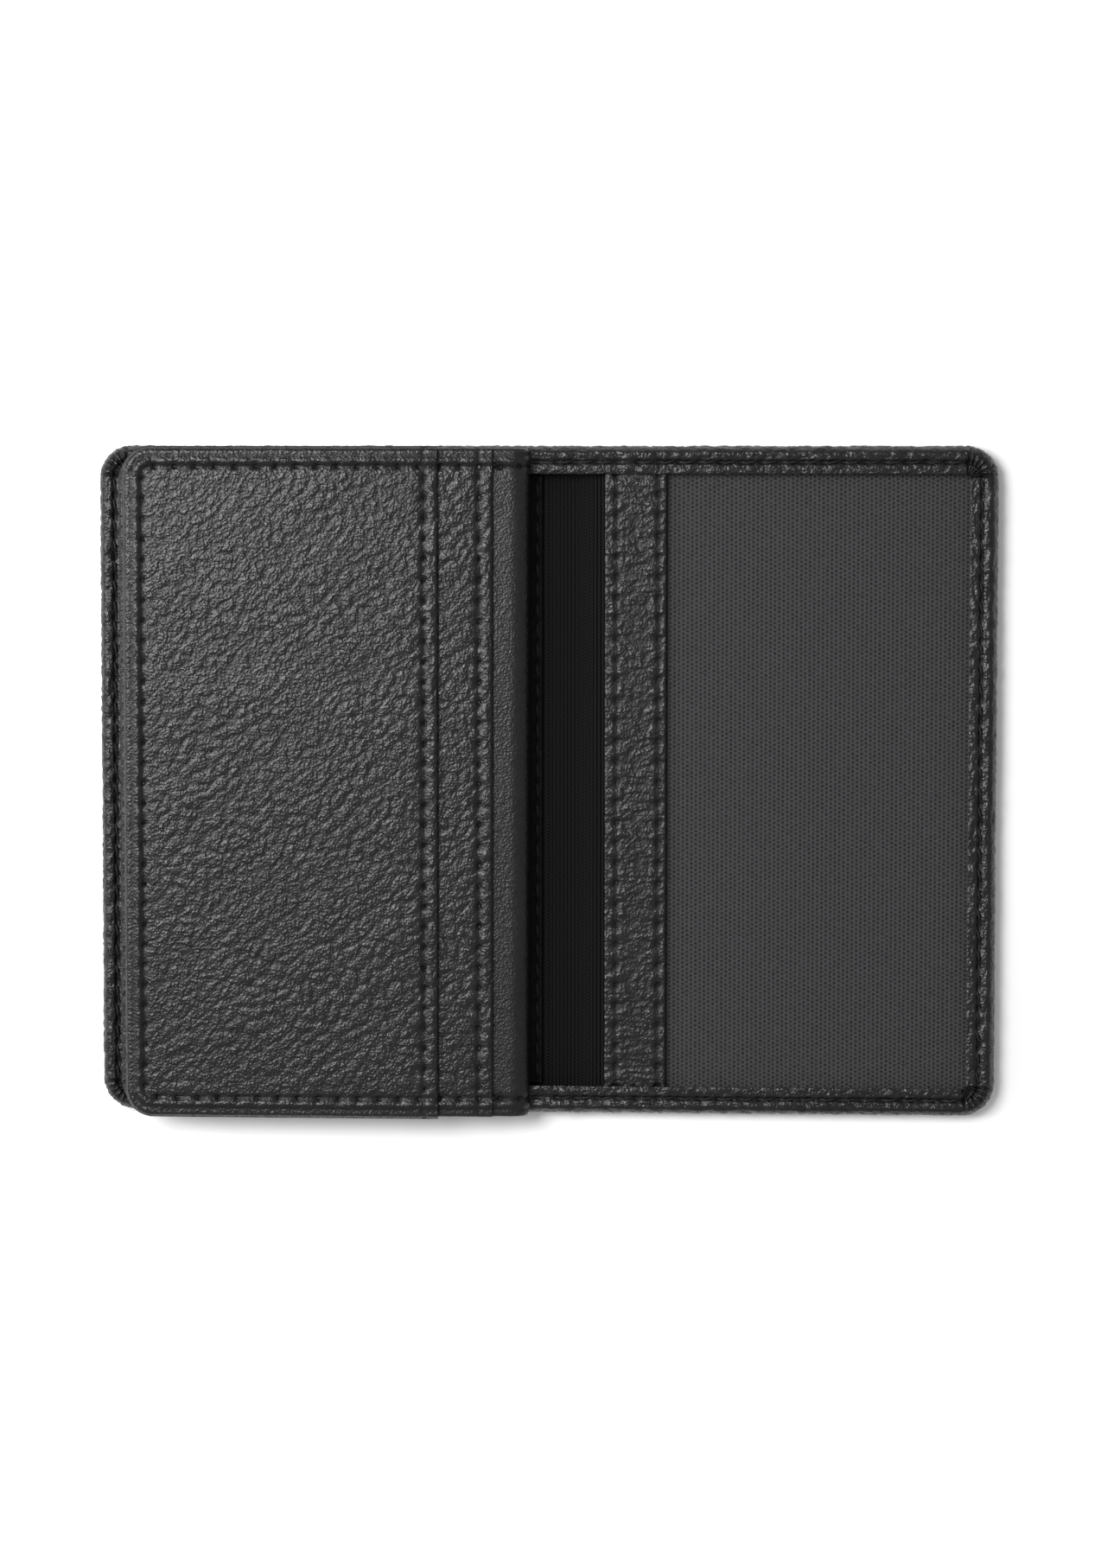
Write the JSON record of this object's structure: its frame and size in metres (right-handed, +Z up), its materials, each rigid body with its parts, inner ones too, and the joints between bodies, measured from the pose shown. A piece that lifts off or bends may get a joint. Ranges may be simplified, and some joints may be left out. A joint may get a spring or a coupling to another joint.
{
  "type": "trifold wallet",
  "caption": "Black leather card wallet: covers on a soft spine, a card wing that turns like a page between them, and a clear window pocket.",
  "frame": {"origin": "under the middle of the spine, on the surface that the open wallet lies on", "axes": "+X across the open wallet towards the window cover, +Y along the spine, +Z up, out of the inner faces"},
  "size_m": [0.1324, 0.0988, 0.0084],
  "materials": {
    "pebbled_leather": "pebbled black leather, semi-gloss",
    "strip_leather": "wrinkled black leather",
    "smooth_leather": "fine-grained black leather, matt",
    "twill_lining": "black nylon twill",
    "grey_weave": "dark grey basket weave",
    "clear_film": "thin clear plastic film",
    "card_board": "thin pressed card",
    "thread": "black bonded polyester thread"
  },
  "bodies": {
    "left_cover": {"left_outer_leather": "pebbled_leather", "left_board": "card_board", "left_lining": "twill_lining", "left_pocket_panel": "pebbled_leather", "left_pocket_strip": "strip_leather", "left_edge_stitching": "thread", "left_mouth_stitching": "thread", "left_window_stitching": "thread"},
    "spine": {"spine_outer_leather": "pebbled_leather", "spine_lining": "twill_lining", "spine_top_stitching": "thread", "spine_bottom_stitching": "thread"},
    "right_cover": {"right_outer_leather": "pebbled_leather", "right_board": "card_board", "right_lining": "twill_lining", "right_pocket_strip": "strip_leather", "window_backing": "grey_weave", "window_film": "clear_film", "right_edge_stitching": "thread", "right_mouth_stitching": "thread", "right_window_stitching": "thread"},
    "wing_hinge": {"hinge_web": "smooth_leather", "gutter_stitching": "thread"},
    "wing": {"wing_front_leather": "pebbled_leather", "wing_back_leather": "pebbled_leather", "wing_board": "card_board", "slot_panel": "pebbled_leather", "wing_hinge_strip": "smooth_leather", "slot_a_liner": "twill_lining", "slot_b_liner": "twill_lining", "wing_edge_stitching": "thread", "slot_a_stitching": "thread", "slot_b_stitching": "thread"}
  },
  "joints": [
    {"name": "spine_fold", "type": "hinge", "parent": "left_cover", "child": "spine", "pos_m": [-0.00562, 0, 0.0008], "axis": [0, 1, 0], "range_deg": [-90, 0], "deforming": ["spine_outer_leather", "spine_lining", "spine_top_stitching", "spine_bottom_stitching"]},
    {"name": "cover_fold", "type": "hinge", "parent": "spine", "child": "right_cover", "pos_m": [0.00562, 0, 0.0008], "axis": [0, 1, 0], "range_deg": [-90, 0]},
    {"name": "hinge_bend", "type": "hinge", "parent": "spine", "child": "wing_hinge", "pos_m": [-0.00402, 0, 0.0024], "axis": [0, 1, 0], "range_deg": [0, 90], "deforming": ["hinge_web", "gutter_stitching"]},
    {"name": "wing_turn", "type": "hinge", "parent": "wing_hinge", "child": "wing", "pos_m": [-0.00225, 0, 0.00632], "axis": [0, 1, 0], "range_deg": [0, 178]}
  ],
  "couplings": [
    {"joint": "spine_fold", "follows": "cover_fold", "ratio": 1},
    {"joint": "hinge_bend", "follows": "cover_fold", "ratio": -1}
  ]
}
